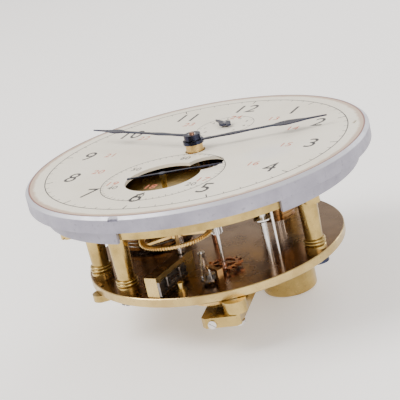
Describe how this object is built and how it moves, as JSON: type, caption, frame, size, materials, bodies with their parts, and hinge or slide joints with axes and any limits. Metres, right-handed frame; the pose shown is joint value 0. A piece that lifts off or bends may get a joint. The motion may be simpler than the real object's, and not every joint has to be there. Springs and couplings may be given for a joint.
{
  "type": "chronometer clock movement",
  "caption": "Chronometer movement with a round dial, hands, two plates on pillars, fusee and barrel, going train, hand work, detent escapement and balance.",
  "frame": {"origin": "on the hands' axis, at the level of the lowest point, the end of the winding sleeve", "axes": "+Z along the hands' axis, out of the dial's face; +Y towards 12 o'clock; +X towards 3 o'clock"},
  "size_m": [0.11, 0.11, 0.058],
  "materials": {
    "polished_brass": "polished",
    "blued_steel": "blued",
    "polished_steel": "polished",
    "gilt_brass": "satin gilt",
    "dial_paint": "satin cream paint",
    "ring_metal": "aged grey, matt"
  },
  "bodies": {
    "root": {"back_plate": "polished_brass", "balance_bridge": "polished_brass", "barrel_arbor": "polished_steel", "bridge_feet": "polished_brass", "bridge_screws": "polished_steel", "click_stud": "polished_steel", "detent_block": "polished_brass", "detent_stud": "polished_steel", "dial_plate": "dial_paint", "dial_ring": "ring_metal", "front_plate": "polished_brass", "fusee_chain": "polished_steel", "left_bridge": "polished_brass", "pillar_back": "polished_brass", "pillar_front_left": "polished_brass", "pillar_rear_left": "polished_brass", "pillar_right": "polished_brass", "pillar_screws": "blued_steel", "plate_stud": "polished_brass", "ring_screws": "polished_brass", "roller_potence": "polished_brass", "setup_ratchet": "polished_steel", "side_spring": "polished_steel", "spring_screws": "polished_steel", "stop_arbor": "polished_steel", "stop_post": "polished_steel", "winding_sleeve": "polished_brass", "work_studs": "polished_steel"},
    "seconds_train": {"seconds_arbor": "polished_steel", "fourth_wheel": "gilt_brass", "seconds_pipe": "polished_brass", "seconds_hand": "blued_steel"},
    "escape": {"escape_arbor": "polished_steel", "escape_wheel": "gilt_brass"},
    "third": {"third_arbor": "polished_steel", "third_wheel": "gilt_brass"},
    "centre": {"centre_arbor": "polished_steel", "centre_wheel": "gilt_brass"},
    "great": {"great_wheel": "gilt_brass"},
    "minute": {"cannon_pinion": "polished_steel", "minute_hand": "blued_steel"},
    "motion_wheel": {"minute_wheel": "gilt_brass"},
    "hour": {"hour_wheel": "gilt_brass", "hour_hand": "blued_steel"},
    "fusee": {"fusee_arbor": "polished_steel", "fusee_cone": "polished_brass", "reserve_driver": "polished_steel"},
    "barrel": {"barrel_drum": "polished_brass", "barrel_cover": "polished_brass", "mainspring": "polished_steel"},
    "idler": {"reserve_idler": "polished_brass"},
    "reserve": {"reserve_arbor": "polished_steel", "reserve_wheel": "gilt_brass", "reserve_hand": "blued_steel"},
    "balance": {"balance_staff": "polished_steel", "impulse_roller": "polished_steel", "balance_wheel": "gilt_brass", "balance_spring": "blued_steel"},
    "detent": {"detent_lever": "polished_steel"},
    "click": {"setup_click": "polished_steel"}
  },
  "joints": [
    {"name": "seconds_turn", "type": "hinge", "parent": "root", "child": "seconds_train", "pos_m": [0, -0.0228, 0], "axis": [0, 0, 1], "continuous": true},
    {"name": "escape_turn", "type": "hinge", "parent": "root", "child": "escape", "pos_m": [0.0126, -0.02004, 0], "axis": [0, 0, 1], "continuous": true},
    {"name": "third_turn", "type": "hinge", "parent": "root", "child": "third", "pos_m": [-0.0059, -0.0113, 0], "axis": [0, 0, 1], "continuous": true},
    {"name": "centre_turn", "type": "hinge", "parent": "root", "child": "centre", "pos_m": [0, 0, 0], "axis": [0, 0, 1], "continuous": true},
    {"name": "great_turn", "type": "hinge", "parent": "root", "child": "great", "pos_m": [0.0184, 0.0094, 0], "axis": [0, 0, 1], "continuous": true},
    {"name": "minute_turn", "type": "hinge", "parent": "root", "child": "minute", "pos_m": [0, 0, 0], "axis": [0, 0, 1], "continuous": true},
    {"name": "motion_wheel_turn", "type": "hinge", "parent": "root", "child": "motion_wheel", "pos_m": [-0.00572, 0.0033, 0], "axis": [0, 0, 1], "continuous": true},
    {"name": "hour_turn", "type": "hinge", "parent": "root", "child": "hour", "pos_m": [0, 0, 0], "axis": [0, 0, 1], "continuous": true},
    {"name": "fusee_wind", "type": "hinge", "parent": "root", "child": "fusee", "pos_m": [0.0184, 0.0094, 0], "axis": [0, 0, 1], "range_deg": [-1260, 1260]},
    {"name": "barrel_turn", "type": "hinge", "parent": "root", "child": "barrel", "pos_m": [-0.0245, 0.0045, 0], "axis": [0, 0, 1], "range_deg": [-1270, 1270]},
    {"name": "idler_turn", "type": "hinge", "parent": "root", "child": "idler", "pos_m": [0.01203, 0.01711, 0], "axis": [0, 0, 1], "range_deg": [-440, 440]},
    {"name": "reserve_turn", "type": "hinge", "parent": "root", "child": "reserve", "pos_m": [0, 0.0228, 0], "axis": [0, 0, 1], "range_deg": [-155, 155]},
    {"name": "balance_swing", "type": "hinge", "parent": "root", "child": "balance", "pos_m": [0.0125, -0.0295, 0], "axis": [0, 0, 1], "range_deg": [-150, 150]},
    {"name": "click_lift", "type": "hinge", "parent": "root", "child": "click", "pos_m": [-0.0245, 0.0155, 0], "axis": [0, 0, 1], "range_deg": [0, 12]},
    {"name": "detent_flex", "type": "hinge", "parent": "root", "child": "detent", "pos_m": [0.00145, -0.01339, 0], "axis": [0, 0, 1], "range_deg": [-3, 0]}
  ],
  "couplings": [
    {"joint": "escape_turn", "follows": "seconds_turn", "ratio": -8},
    {"joint": "third_turn", "follows": "seconds_turn", "ratio": -0.13333},
    {"joint": "centre_turn", "follows": "seconds_turn", "ratio": 0.016667},
    {"joint": "great_turn", "follows": "seconds_turn", "ratio": -0.0024306},
    {"joint": "motion_wheel_turn", "follows": "minute_turn", "ratio": -0.33333},
    {"joint": "hour_turn", "follows": "minute_turn", "ratio": 0.083333},
    {"joint": "barrel_turn", "follows": "fusee_wind", "ratio": 1},
    {"joint": "idler_turn", "follows": "fusee_wind", "ratio": -0.33333},
    {"joint": "reserve_turn", "follows": "fusee_wind", "ratio": 0.11905}
  ]
}
